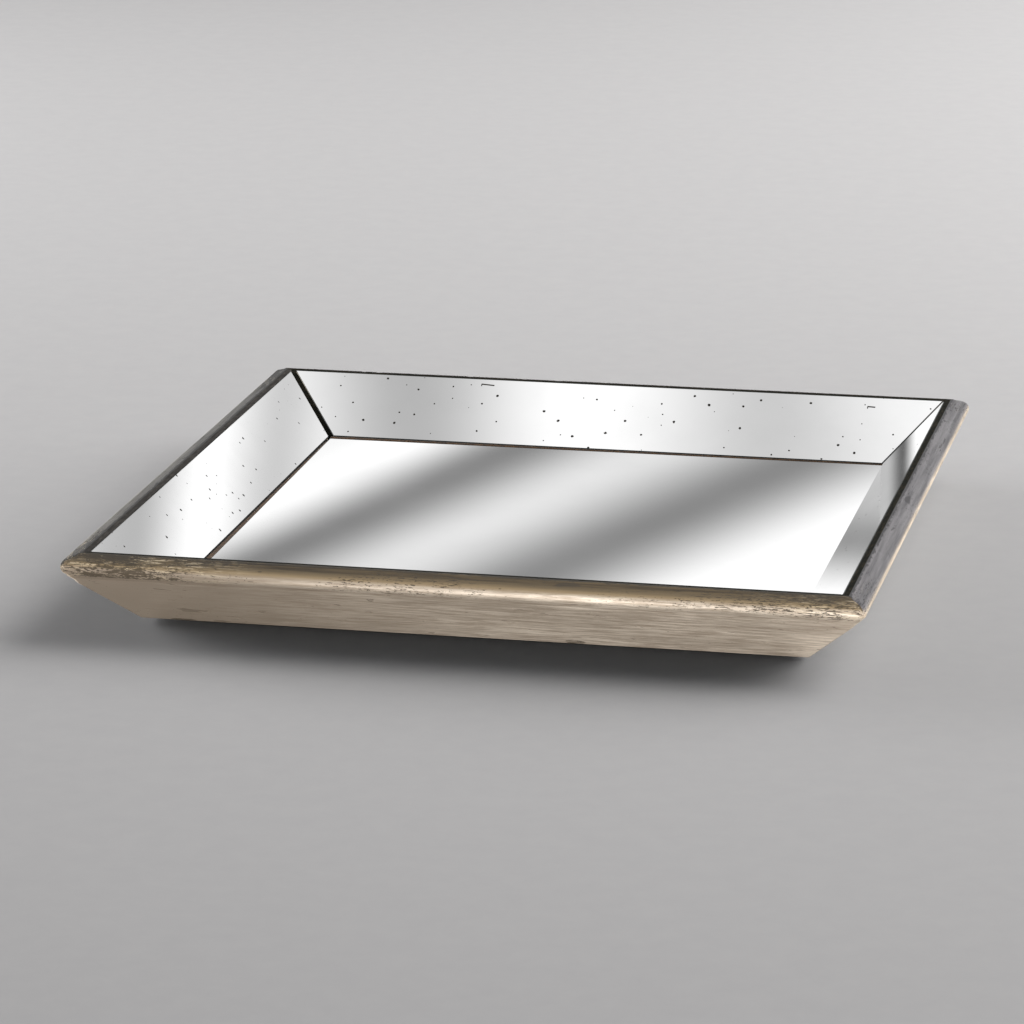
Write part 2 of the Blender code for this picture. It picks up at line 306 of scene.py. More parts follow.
def silver_leaf(side, offset, look):
    """Brushed champagne leaf over dark clay, worn and flecked on the bead."""
    made, tree, shader = new_material("silver_leaf_" + side)
    along, across, height = split(tree, node(tree, "TexCoord").outputs["Object"])
    on_bead = ramp(tree, height, QUIRK_Z, QUIRK_Z + 1.5 * MM)
    on_top = ramp(tree, height, NOSE_Z + 0.5 * MM, NOSE_Z + 3.0 * MM)
    brushed = grained(tree, BRUSHED_GRAIN, (offset, 0, 0), 5, 0.72)
    colour = blend_colour(tree, on_top, leaf_colour(tree, along, brushed, offset, look),
                          top_colour(tree, height, brushed, offset, look))
    # where the dark clay shows
    heavy = handled(tree, along, look)
    scratch = grained(tree, SCRATCH_GRAIN, (offset, 3, 1), 5, 0.65)
    worn = clay_flecks(tree, scratch, heavy, on_bead, offset, look)
    worn = math_of(tree, "MAXIMUM", worn, clay_border(tree, across, height, offset))
    smudge = grained(tree, SMUDGE_GRAIN, (offset + 11, 2, 6), 3, 0.6, 0.5)
    worn = math_of(tree, "MAXIMUM", worn, ramp(tree, smudge, 0.63, 0.7, 0.0, 0.7))
    for centre, reach in look.get("scuffs", ()):
        worn = math_of(tree, "MAXIMUM", worn, scuff(tree, centre, reach, scratch))
    colour = blend_colour(tree, ramp(tree, worn, 0.0, 1.0, 0.0, 0.92), colour, look["clay"])
    # leaf rubbed to bright cream on the heavily worn stretches
    rubbed = grained(tree, RUBBED_GRAIN, (offset + 5, 1, 8), 4, 0.6)
    rubbed = math_of(tree, "MULTIPLY", ramp(tree, rubbed, 0.5, 0.6), heavy)
    rubbed = math_of(tree, "MULTIPLY", rubbed, math_of(tree, "SUBTRACT", on_bead, worn))
    colour = blend_colour(tree, ramp(tree, rubbed, 0.0, 1.0, 0.0, 0.75), colour, rgb(206, 190, 162))
    # painted shade in the quirk under the bead, with some settled dark wax
    in_quirk = math_of(tree, "SUBTRACT", ramp(tree, height, QUIRK_Z - 1.8 * MM, QUIRK_Z - 0.2 * MM),
                       ramp(tree, height, QUIRK_Z + 0.2 * MM, QUIRK_Z + 1.8 * MM))
    colour = blend_colour(tree, ramp(tree, in_quirk, 0.0, 1.0, 0.0, 0.28), colour, rgb(84, 72, 58))
    link(tree, colour, shader.inputs["Base Color"])
    link(tree, ramp(tree, worn, 0.0, 1.0, 0.62, 0.0), shader.inputs["Metallic"])
    shine = ramp(tree, brushed, 0.25, 0.75, 0.3, 0.44)
    link(tree, blend_value(tree, worn, shine, 0.6), shader.inputs["Roughness"])
    relief = math_of(tree, "SUBTRACT", brushed, math_of(tree, "MULTIPLY", worn, 0.9))
    link(tree, bump(tree, relief, 0.1 * MM, 0.5), shader.inputs["Normal"])
    return made


def sight_paint_and_seam_shade(side, dark, dusty):
    """Dull black paint of the sight edge, also laid on the rabbet behind the glass, where it stands
    in for the shade in the seams between the mirrors.
    """
    made, tree, shader = new_material("sight_paint_and_seam_shade_" + side)
    dust = grained(tree, DUST_GRAIN, (0, 0, 0), 4, 0.65)
    link(tree, blend_colour(tree, ramp(tree, dust, 0.4, 0.8), dark, dusty),
         shader.inputs["Base Color"])
    shader.inputs["Roughness"].default_value = 0.85
    shader.inputs["Specular IOR Level"].default_value = 0.08
    link(tree, bump(tree, dust, 0.1 * MM, 0.5), shader.inputs["Normal"])
    return made


def hooked_scratch(tree, start, length, slope):
    """A hair-thin scratch with a short hook at its start, on a side mirror's face."""
    centred = place_on(tree, shift=(-start[0], -start[1], 0))
    turned = node(tree, "Mapping", {"Vector": centred, "Rotation": (0, 0, -slope)}).outputs[0]
    x, y, _ = split(tree, turned)
    strokes = []
    for low, high, across, along in ((0.0, length, y, x), (-0.8 * MM, 0.0, x, y)):
        nearest = ramp(tree, along, low, high, low, high, smooth=False)
        over = math_of(tree, "SUBTRACT", along, nearest)
        squares = [math_of(tree, "MULTIPLY", value, value) for value in (over, across)]
        reach = math_of(tree, "SQRT", math_of(tree, "ADD", *squares))
        strokes.append(ramp(tree, reach, 0.22 * MM, 0.42 * MM, 1.0, 0.0))
    return math_of(tree, "MAXIMUM", *strokes)


def antiqued_mirror(side, offset, specks, scratches=()):
    """Silvered glass with small dark specks where the silvering has lifted."""
    made, tree, shader = new_material("antiqued_mirror_" + side)
    shader.inputs["Metallic"].default_value = 1.0
    plane = place_on(tree, (1, math.sqrt(2), 0), (offset, 0, 0))
    cells = node(tree, "TexVoronoi", {"Vector": plane, "Scale": SPECK_CELLS, "Randomness": 1.0},
                 voronoi_dimensions="2D")
    chance = node(tree, "SeparateColor", {"Color": cells.outputs["Color"]}).outputs
    size = ramp(tree, chance[0], 1.0 - specks, 1.0, 0.02, 0.1, smooth=False)
    present = math_of(tree, "GREATER_THAN", chance[0], 1.0 - specks)
    ragged = noise_of(tree, plane, 900.0, 2, 0.5)
    reach = math_of(tree, "MULTIPLY", size, ramp(tree, ragged, 0.2, 0.8, 0.7, 1.3))
    outwards = math_of(tree, "DIVIDE", cells.outputs["Distance"], reach)
    spot = math_of(tree, "SUBTRACT", 1.0, ramp(tree, outwards, 0.75, 1.05))
    spot = math_of(tree, "MULTIPLY", spot, present)
    for start, length, slope in scratches:
        spot = math_of(tree, "MAXIMUM", spot, hooked_scratch(tree, start, length, slope))
    haze = noise_of(tree, plane, 14.0, 4, 0.6)
    silver = blend_colour(tree, ramp(tree, haze, 0.35, 0.75), rgb(236, 236, 236), rgb(230, 230, 230))
    link(tree, blend_colour(tree, spot, silver, rgb(52, 49, 44)), shader.inputs["Base Color"])
    clean = ramp(tree, haze, 0.3, 0.8, 0.03, 0.06)
    link(tree, blend_value(tree, spot, clean, 0.5), shader.inputs["Roughness"])
    return made


def floor_silver():
    """The floor's silvered glass, clean, with the faintest polishing haze."""
    made, tree, shader = new_material("floor_mirror")
    shader.inputs["Metallic"].default_value = 1.0
    haze = noise_of(tree, place_on(tree), 9.0, 5, 0.6)
    silver = blend_colour(tree, ramp(tree, haze, 0.3, 0.75), rgb(238, 238, 238), rgb(234, 234, 234))
    link(tree, silver, shader.inputs["Base Color"])
    link(tree, ramp(tree, haze, 0.3, 0.8, 0.03, 0.05), shader.inputs["Roughness"])
    return made


def glass_edge():
    """The cut edge of the glass, nearly black green."""
    made, tree, shader = new_material("glass_edge")
    ground = noise_of(tree, place_on(tree), 1400.0, 3, 0.6)
    link(tree, blend_colour(tree, ground, rgb(12, 16, 13), rgb(30, 38, 32)),
         shader.inputs["Base Color"])
    link(tree, ramp(tree, ground, 0.3, 0.7, 0.3, 0.5), shader.inputs["Roughness"])
    shader.inputs["Specular IOR Level"].default_value = 0.25
    return made


def hardboard():
    """Pressed brown fibreboard."""
    made, tree, shader = new_material("hardboard")
    fibre = noise_of(tree, place_on(tree, (1, 1, 0.2)), 900.0, 5, 0.7, 0.6)
    cloud = noise_of(tree, place_on(tree), 20.0, 3)
    brown = blend_colour(tree, fibre, rgb(58, 38, 24), rgb(98, 68, 42))
    brown = blend_colour(tree, ramp(tree, cloud, 0.3, 0.7, 0.0, 0.3), brown, rgb(50, 33, 22))
    link(tree, brown, shader.inputs["Base Color"])
    shader.inputs["Roughness"].default_value = 0.75
    link(tree, bump(tree, fibre, 0.1 * MM, 0.5), shader.inputs["Normal"])
    return made


def felt(name, dark, light):
    """Matted short fibres."""
    made, tree, shader = new_material(name)
    matted = noise_of(tree, place_on(tree), 1100.0, 6, 0.75, 1.2)
    cloud = noise_of(tree, place_on(tree), 45.0, 3)
    colour = blend_colour(tree, matted, dark, light)
    colour = blend_colour(tree, ramp(tree, cloud, 0.3, 0.7, 0.0, 0.35), colour, dark)
    link(tree, colour, shader.inputs["Base Color"])
    shader.inputs["Roughness"].default_value = 0.95
    shader.inputs["Sheen Weight"].default_value = 0.35
    shader.inputs["Sheen Roughness"].default_value = 0.5
    link(tree, bump(tree, matted, 0.3 * MM, 0.8), shader.inputs["Normal"])
    return made


def foam_tape():
    """White double-sided tape of fine foam."""
    made, tree, shader = new_material("mounting_tape")
    cells = noise_of(tree, place_on(tree), 2200.0, 3, 0.6)
    link(tree, blend_colour(tree, cells, rgb(196, 194, 186), rgb(224, 223, 216)),
         shader.inputs["Base Color"])
    shader.inputs["Roughness"].default_value = 0.7
    link(tree, bump(tree, cells, 0.06 * MM, 0.5), shader.inputs["Normal"])
    return made


def steel():
    """Bright drawn wire and strip, a little stained."""
    made, tree, shader = new_material("bright_steel")
    shader.inputs["Metallic"].default_value = 1.0
    stain = noise_of(tree, place_on(tree), 700.0, 4, 0.6)
    link(tree, blend_colour(tree, ramp(tree, stain, 0.45, 0.75), rgb(186, 186, 188),
                            rgb(130, 122, 112)), shader.inputs["Base Color"])
    link(tree, ramp(tree, stain, 0.3, 0.7, 0.28, 0.5), shader.inputs["Roughness"])
    return made


def beech():
    """Fine straight grain with short flecks."""
    made, tree, shader = new_material("beech")
    grain = noise_of(tree, place_on(tree, (400, 400, 90)), 1.0, 4, 0.6)
    link(tree, blend_colour(tree, grain, rgb(176, 134, 96), rgb(212, 176, 136)),
         shader.inputs["Base Color"])
    shader.inputs["Roughness"].default_value = 0.6
    link(tree, bump(tree, grain, 0.05 * MM, 0.4), shader.inputs["Normal"])
    return made


# ---------------------------------------------------------------- pieces

def new_piece(name, bm, materials, smooth_angle=None):
    """An object of this mesh; with an angle, shaded smooth across edges flatter than it."""
    bmesh.ops.recalc_face_normals(bm, faces=bm.faces)
    mesh = bpy.data.meshes.new(name)
    bm.to_mesh(mesh)
    bm.free()
    if smooth_angle is not None:
        mesh.shade_smooth()
        mesh.set_sharp_from_angle(angle=math.radians(smooth_angle))
    for each in materials:
        mesh.materials.append(each)
    piece = bpy.data.objects.new(name, mesh)
    bpy.context.collection.objects.link(piece)
    return piece


def round_corner(before, corner, after, radius, steps=3):
    """Points of a small fillet that replaces a section's corner."""
    before, corner, after = Vector(before), Vector(corner), Vector(after)
    start = corner + (before - corner).normalized() * radius
    end = corner + (after - corner).normalized() * radius
    points = []
    for step in range(steps + 1):
        t = step / steps
        points.append((1 - t) ** 2 * start + 2 * t * (1 - t) * corner + t ** 2 * end)
    return points


def rail_section():
    """The moulding's outline: the leafed front, the black sight edge and rabbet, the inner foot."""
    centre = Vector((NOSE_RADIUS, NOSE_HEIGHT))
    to_ridge = Vector(RIDGE) - centre
    tangent = math.atan2(to_ridge.y, to_ridge.x) + math.acos(NOSE_RADIUS / to_ridge.length)
    inner_foot, outer_foot = (FOOT_INNER, 0.0), (FOOT_OUTER, 0.0)
    points = round_corner(inner_foot, outer_foot, QUIRK, ARRIS)
    for step in range(1, FACE_STEPS):
        points.append(Vector(outer_foot).lerp(Vector(QUIRK), step / FACE_STEPS))
    points.append(Vector(QUIRK))
    for step in range(NOSE_STEPS + 1):
        angle = NOSE_END + (tangent - NOSE_END) * step / NOSE_STEPS
        points.append(centre + NOSE_RADIUS * Vector((math.cos(angle), math.sin(angle))))
    points.append(points[-1].lerp(Vector(RIDGE), 0.5))
    points += round_corner(points[-1], RIDGE, LIP, LIP_ROUNDING)
    sight = [Vector(LIP), Vector(RABBET_TOP), Vector(WALL_FOOT)]
    foot = [Vector((FOOT_INNER, LEDGE)), Vector(inner_foot)]
    return points, sight, foot


def corner_radius(point):
    """How far a corner of the tray is worn round in plan, at a point of the section."""
    if point.y > NOSE_HEIGHT - 2 * NOSE_RADIUS and point.x < RIDGE[0] - 1 * MM:
        return WORN_CORNER
    return FACE_CORNER if point.x < FOOT_OUTER and point.y < QUIRK[1] else 0.0


def rail_stations(length, radius, steps=220, turns=5):
    """(x, pull) along one line of the rail: pull is how far a worn corner draws it inwards."""
    corner = []
    for turn in range(turns + 1):
        angle = math.radians(45) * turn / turns
        corner.append((length - radius * (1 - math.sin(angle)), radius * (1 - math.cos(angle))))
    straight = length - radius
    middle = [(straight * (2 * step / steps - 1), 0.0) for step in range(1, steps)]
    return [(-x, pull) for x, pull in reversed(corner)] + middle + corner


def random_dents(seed):
    """Shallow dents in the nose and top: (x, height, radius, depth)."""
    rng = random.Random(seed)
    return [(rng.uniform(-0.215, 0.215), rng.uniform(0.033, 0.0445), rng.uniform(1.0, 2.6) * MM,
             rng.uniform(0.12, 0.35) * MM) for _ in range(DENT_COUNT)]


def worn_depth(x, point, dents, seed):
    """How far the surface is sunk at a place along the rail and a point of the section."""
    wave = noise.noise(Vector((x * 28 + seed * 9.1, point.x * 90, point.y * 90)))
    depth = (0.5 + 0.5 * wave) * WAVE_DEPTH
    for dent_x, dent_height, radius, deep in dents:
        reach = math.hypot(x - dent_x, point.y - dent_height) / radius
        if reach < 1 and point.x < DENT_INSET:
            depth += deep * (1 - reach * reach) ** 2
    return depth


def rail_mesh(seed):
    """The section swept from mitre to mitre, uneven and dented but for the lip beside the glass."""
    leafed, black, foot = rail_section()
    section = leafed + black + foot
    centroid = sum(section, Vector((0, 0))) / len(section)
    dents = random_dents(seed)
    bm = bmesh.new()
    lines = []
    for point in section:
        line = []
        inward = (centroid - point).normalized()
        is_lip = point == Vector(LIP)
        for x, pull in rail_stations(HALF_SIDE - point.x - MITRE_SETBACK, corner_radius(point)):
            place = point + Vector((pull, 0.0))
            if not is_lip:
                place += inward * worn_depth(x, point, dents, seed)
            line.append(bm.verts.new((x, place.x - HALF_SIDE, UNDERSIDE + place.y)))
        lines.append(line)
    # the sight edge and the rabbet take the black paint; on the rabbet it is painted shade for the
    # seams between the mirrors
    blackened = range(len(leafed) - 1, len(leafed) + len(black) - 1)
    for number, (low, high) in enumerate(zip(lines, lines[1:] + lines[:1])):
        for i in range(len(low) - 1):
            face = bm.faces.new((low[i], low[i + 1], high[i + 1], high[i]))
            face.material_index = 1 if number in blackened else 0
    bm.faces.new([line[0] for line in lines])
    bm.faces.new([line[-1] for line in reversed(lines)])
    return bm


def quarter_turn(piece, side):
    """Turn a piece modelled at the front to its own side."""
    piece.rotation_euler.z = QUARTER_TURN * SIDES.index(side)


def side_turn(number):
    """The turn that takes the front side to the side of this number."""
    return Matrix.Rotation(QUARTER_TURN * number, 3, "Z")


def rail_looks():
    """Each rail's colours and wear.

    face is the leaf's darker, lighter and clouded colour, and the painted left shade how far painted
    shade darkens it towards the left end. top is the sloping top's dark and light streak, the nose's
    painted light its lighter colour towards the nose, clay what shows where the leaf is gone, and
    sight the sight edge's paint and dust, which on the rabbet stands in for the shade in the seams.
    The tops and the sight edges are one moulding and one paint, yet their colours differ by side as
    painted light and reflection. wear is the amount of flecks everywhere, ends and left how many more
    towards both ends and the left end, and face_wear the share of them on the flat face.
    """
    silvered = (rgb(171, 156, 139), rgb(230, 217, 200), rgb(146, 133, 118))
    black = (rgb(22, 23, 19), rgb(58, 52, 42))
    # painted light and reflection: the tops' and sight edges' colours differ from rail to rail,
    # lighter, darker, warmer or cooler by how light falls on each
    return {
        "front": {"face": silvered, "painted_left_shade": 0.95, "sight": black,
                  "top": (rgb(40, 33, 23), rgb(97, 83, 61)), "nose_painted_light": rgb(141, 124, 98),
                  "clay": rgb(41, 35, 26), "wear": 0.85, "ends": 0.6, "left": 0.75,
                  "face_wear": 0.3, "scuffs": FRONT_SCUFFS},
        "right": {"face": silvered, "painted_left_shade": 0.0, "sight": black,
                  "top": (rgb(68, 66, 70), rgb(128, 125, 127)),
                  "clay": rgb(42, 41, 42), "wear": 0.6, "ends": 0.2, "face_wear": 0.25},
        "back": {"face": silvered, "painted_left_shade": 0.0, "sight": black,
                 "top": (rgb(72, 68, 62), rgb(128, 118, 104)),
                 "clay": rgb(36, 34, 30), "wear": 0.8, "ends": 0.7, "face_wear": 0.25},
        "left": {"face": silvered, "painted_left_shade": 0.0, "sight": (rgb(58, 56, 54), rgb(90, 86, 82)),
                 "top": (rgb(46, 44, 44), rgb(80, 78, 77)),
                 "clay": rgb(40, 39, 38), "wear": 0.6, "ends": 1.1, "face_wear": 0.25},
    }


def make_rails():
    """The leafed rails, kept out of reflections and of bounced light."""
    looks = rail_looks()
    for number, side in enumerate(SIDES):
        leaf = silver_leaf(side, 3.7 * number, looks[side])
        black = sight_paint_and_seam_shade(side, *looks[side]["sight"])
        rail = new_piece("leafed_rail_" + side, rail_mesh(number + 1), [leaf, black], 32)
        quarter_turn(rail, side)
        rail.visible_glossy = False
        rail.visible_diffuse = False
        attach(rail, "root")
        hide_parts(side + "_rail")


def mirror_plate(node_name, face_material, edge_material, up):
    """A copy of a glass plate with its arrises ground off; up points out of its silvered face."""
    bm = bmesh.new()
    bm.from_mesh(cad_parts[node_name].data)
    bmesh.ops.remove_doubles(bm, verts=bm.verts, dist=1e-6)
    bmesh.ops.dissolve_limit(bm, angle_limit=math.radians(1), verts=bm.verts, edges=bm.edges)
    bmesh.ops.bevel(bm, geom=bm.edges[:], offset=PLATE_ARRIS, segments=2, affect="EDGES",
                    profile=0.5)
    bm.normal_update()
    for face in bm.faces:
        face.material_index = 0 if face.normal.dot(up) > 0.95 else 1
        face.smooth = False
    plate = new_piece("plate_" + node_name, bm, [face_material, edge_material])
    stored_normals = plate.data.attributes.get("custom_normal")
    if stored_normals is not None:
        plate.data.attributes.remove(stored_normals)
    return plate


def make_mirrors():
    """The side mirrors, kept out of reflections, and the floor mirror."""
    edge = glass_edge()
    for number, side in enumerate(SIDES):
        turn = side_turn(number)
        up = turn @ Vector((0, 1, 1)).normalized()
        scratches = BACK_SCRATCHES if side == "back" else ()
        face = antiqued_mirror(side, 1.3 * number, SPECK_SHARE[side], scratches)
        plate = mirror_plate(side + "_mirror", face, edge, up)
        plate.data.transform(turn.inverted().to_4x4())
        quarter_turn(plate, side)
        plate.visible_glossy = False
        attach(plate, "root")
        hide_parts(side + "_mirror")
    plate = mirror_plate("floor_mirror", floor_silver(), edge, Vector((0, 0, 1)))
    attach(plate, "root")
    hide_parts("floor_mirror")


def mastic():
    """Brown setting mastic round the floor mirror."""
    made, tree, shader = new_material("brown_mastic")
    lumps = noise_of(tree, place_on(tree), 260.0, 4, 0.6)
    link(tree, blend_colour(tree, ramp(tree, lumps, 0.3, 0.7), rgb(56, 39, 26), rgb(108, 80, 52)),
         shader.inputs["Base Color"])
    shader.inputs["Roughness"].default_value = 0.6
    link(tree, bump(tree, lumps, 0.2 * MM, 0.5), shader.inputs["Normal"])
    return made


def bead_mesh(start, end, sunk_start, sunk_end, climb, seed):
    """A bead along the front side's seam.

    Its top lies sunk_start to sunk_end below the floor mirror's face and climbs under the glass.
    """
    bottom = FLOOR_HIGH.z - BEAD_DEPTH
    outer_y = BEAD_OUTER - HALF_SIDE
    bm = bmesh.new()
    rings = []
    for step in range(BEAD_STEPS + 1):
        t = step / BEAD_STEPS
        edge = start.lerp(end, t)
        top = FLOOR_HIGH.z - sunk_start - (sunk_end - sunk_start) * t
        lift = BEAD_LUMPS * noise.noise(Vector((edge.x * 60, seed, 0.0)))
        ring = [(edge.y, bottom), (edge.y, top - 0.1 * MM), (edge.y - 0.8 * MM, top + climb),
                (outer_y, top + climb + lift - 0.4 * MM), (outer_y, bottom)]
        rings.append([bm.verts.new((edge.x, y, z)) for y, z in ring])
    for left, right in zip(rings, rings[1:]):
        for i in range(len(left)):
            j = (i + 1) % len(left)
            bm.faces.new((left[i], left[j], right[j], right[i]))
    bm.faces.new(rings[0])
    bm.faces.new(reversed(rings[-1]))
    return bm


def make_mastic():
    """A bead in each seam, from the floor mirror's edge to under a side mirror's foot."""
    brown = mastic()
    corners = floor_corners()
    # depth in mm below the floor mirror's face at each end, and climb under the side mirror
    sunk = {"front": (0.9, 0.9, 0.0), "right": (0.9, 0.9, 0.0), "back": (0.05, 0.05, 0.75),
            "left": (1.7, 1.0, 0.0)}
    for number, side in enumerate(SIDES):
        unturn = side_turn(number).inverted()
        start = unturn @ corners[CORNERS[number - 1]]
        end = unturn @ corners[CORNERS[number]]
        sunk_start, sunk_end, climb = (value * MM for value in sunk[side])
        bm = bead_mesh(start, end, sunk_start, sunk_end, climb, number * 5.0)
        bead = new_piece("mastic_bead_" + side, bm, [brown], 60)
        quarter_turn(bead, side)
        bead.visible_glossy = False
        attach(bead, "root")


def floor_corners():
    """The floor mirror's four corners, by name."""
    signs = {"front_right": (1, -1), "back_right": (1, 1), "back_left": (-1, 1),
             "front_left": (-1, -1)}
    found = {}
    for name, (sign_x, sign_y) in signs.items():
        best = max(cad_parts["floor_mirror"].data.vertices,
                   key=lambda vert: sign_x * vert.co.x + sign_y * vert.co.y + vert.co.z)
        found[name] = best.co.copy()
    return found


def felt_grid(bm, low, high, is_top):
    """One face of the felt as rows of vertices, its edge trimmed and its lower face matted."""
    grid = []
    for row in range(FELT_STEPS + 1):
        line = []
        for column in range(FELT_STEPS + 1):
            x = low.x + (high.x - low.x) * column / FELT_STEPS
            y = low.y + (high.y - low.y) * row / FELT_STEPS
            matting = 0.5 + 0.5 * noise.noise(Vector((x * 90, y * 90, 4.0)))
            trim = FELT_TRIM * (0.5 + 0.5 * noise.noise(Vector((x * 30, y * 30, 7.0))))
            x += trim * ((column == 0) - (column == FELT_STEPS))
            y += trim * ((row == 0) - (row == FELT_STEPS))
            z = high.z if is_top else low.z + FELT_MATTING * matting
            line.append(bm.verts.new((x, y, z)))
        grid.append(line)
    for row in range(FELT_STEPS):
        for column in range(FELT_STEPS):
            bm.faces.new((grid[row][column], grid[row][column + 1],
                          grid[row + 1][column + 1], grid[row + 1][column]))
    return grid


def felt_rim(grid):
    """The vertices round a grid's edge, in order."""
    right_side = [line[-1] for line in grid[:-1]]
    left_side = [line[0] for line in grid[:0:-1]]
    return grid[0][:-1] + right_side + grid[-1][:0:-1] + left_side


def make_backing_felt():
    """The underside's felt: one sheet stretched flat, its face matted and its edge hand cut."""
    low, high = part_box("backing_felt")
    bm = bmesh.new()
    upper, lower = (felt_rim(felt_grid(bm, low, high, is_top)) for is_top in (True, False))
    for i in range(len(upper)):
        bm.faces.new((upper[i - 1], upper[i], lower[i], lower[i - 1]))
    look = felt("backing_felt", rgb(22, 22, 24), rgb(52, 52, 56))
    cloth = new_piece("felt_backing_sheet", bm, [look], 50)
    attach(cloth, "root")
    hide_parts("backing_felt")


def pad_ring(centre, out, z):
    """Points round a pad at one height, unevenly pressed in; at its axis there is only one."""
    ring = []
    for step in range(PAD_STEPS if out else 1):
        angle = 2 * math.pi * step / PAD_STEPS
        pressed = noise.noise(Vector((centre.x * 50 + math.cos(angle),
                                      centre.y * 50 + math.sin(angle), z * 900)))
        reach = out * (1 - PAD_PRESSING * (1 + pressed))
        ring.append((centre.x + reach * math.cos(angle), centre.y + reach * math.sin(angle), z))
    return ring


def pad_mesh(low, high):
    """A thick disc, its edge pressed round and its foot slightly domed."""
    centre, radius, thick = (low + high) / 2, (high.x - low.x) / 2, high.z - low.z
    profile = [(0.0, high.z), (0.93 * radius, high.z), (0.98 * radius, high.z - 0.12 * thick),
               (radius, high.z - 0.4 * thick), (0.99 * radius, low.z + 0.3 * thick),
               (0.94 * radius, low.z + 0.13 * thick), (0.8 * radius, low.z + 0.05 * thick),
               (0.45 * radius, low.z + 0.01 * thick), (0.0, low.z)]
    bm = bmesh.new()
    rings = [[bm.verts.new(at) for at in pad_ring(centre, out, z)] for out, z in profile]
    for upper, lower in zip(rings, rings[1:]):
        wide, tip = max(upper, lower, key=len), min(upper, lower, key=len)
        for step in range(PAD_STEPS):
            if len(tip) == 1:
                bm.faces.new((wide[step - 1], wide[step], tip[0]))
            else:
                bm.faces.new((upper[step - 1], upper[step], lower[step], lower[step - 1]))
    return bm


def make_foot_pads():
    """A felt disc under each corner."""
    look = felt("foot_pad", rgb(38, 33, 29), rgb(74, 66, 58))
    for corner in CORNERS:
        pad = new_piece(corner + "_felt_pad", pad_mesh(*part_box(corner + "_foot_pad")), [look], 50)
        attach(pad, "root")
        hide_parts(corner + "_foot_pad")


def dress_cad_nodes():
    """The CAD nodes that stay get their materials, and stay out of the mirrors."""
    looks = {"tape": foam_tape(), "pin": steel(), "v_nail": bpy.data.materials["bright_steel"],
             "dowel": beech(), "base_board": hardboard()}
    for name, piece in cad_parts.items():
        piece.visible_glossy = False
        for ending, look in looks.items():
            if ending in name:
                for slot in piece.material_slots:
                    slot.link = "OBJECT"
                    slot.material = look


# ---------------------------------------------------------------- studio

def make_camera():
    camera = bpy.data.objects.new("camera", bpy.data.cameras.new("camera"))
    bpy.context.collection.objects.link(camera)
    camera.data.lens = CAMERA_LENS
    camera.data.sensor_width = CAMERA_SENSOR
    forward = Vector((-math.sin(CAMERA_YAW) * math.cos(CAMERA_DROP),
                      math.cos(CAMERA_YAW) * math.cos(CAMERA_DROP), -math.sin(CAMERA_DROP)))
    right = Vector((math.cos(CAMERA_YAW), math.sin(CAMERA_YAW), 0.0))
    up = right.cross(forward)
    turned_right = math.cos(CAMERA_ROLL) * right + math.sin(CAMERA_ROLL) * up
    turned_up = -math.sin(CAMERA_ROLL) * right + math.cos(CAMERA_ROLL) * up
    axes = Matrix((turned_right, turned_up, -forward)).transposed().to_4x4()
    camera.matrix_world = Matrix.Translation(CAMERA_PLACE) @ axes
    camera.data.clip_end = 100.0
    bpy.context.scene.camera = camera


def make_table():
    """A plain pale floor."""
    made, tree, shader = new_material("pale_floor")
    grain = noise_of(tree, place_on(tree), 60.0, 4, 0.6)
    link(tree, blend_colour(tree, grain, rgb(208, 207, 208), rgb(216, 215, 215)),
         shader.inputs["Base Color"])
    shader.inputs["Roughness"].default_value = 0.9
    shader.inputs["Specular IOR Level"].default_value = 0.0
    bm = bmesh.new()
    bmesh.ops.create_grid(bm, x_segments=1, y_segments=1, size=TABLE_REACH)
    table = new_piece("studio_floor", bm, [made])
    table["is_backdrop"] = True


def aim(thing, target):
    thing.rotation_euler = (Vector(target) - thing.location).to_track_quat("-Z", "Y").to_euler()


def add_area_light(name, place, target, size, power, colour=(1, 1, 1)):
    data = bpy.data.lights.new(name, "AREA")
    data.shape = "RECTANGLE"
    data.size, data.size_y = size
    data.energy = power
    data.color = colour
    light = bpy.data.objects.new(name, data)
    light.location = place
    bpy.context.collection.objects.link(light)
    aim(light, target)
    return light


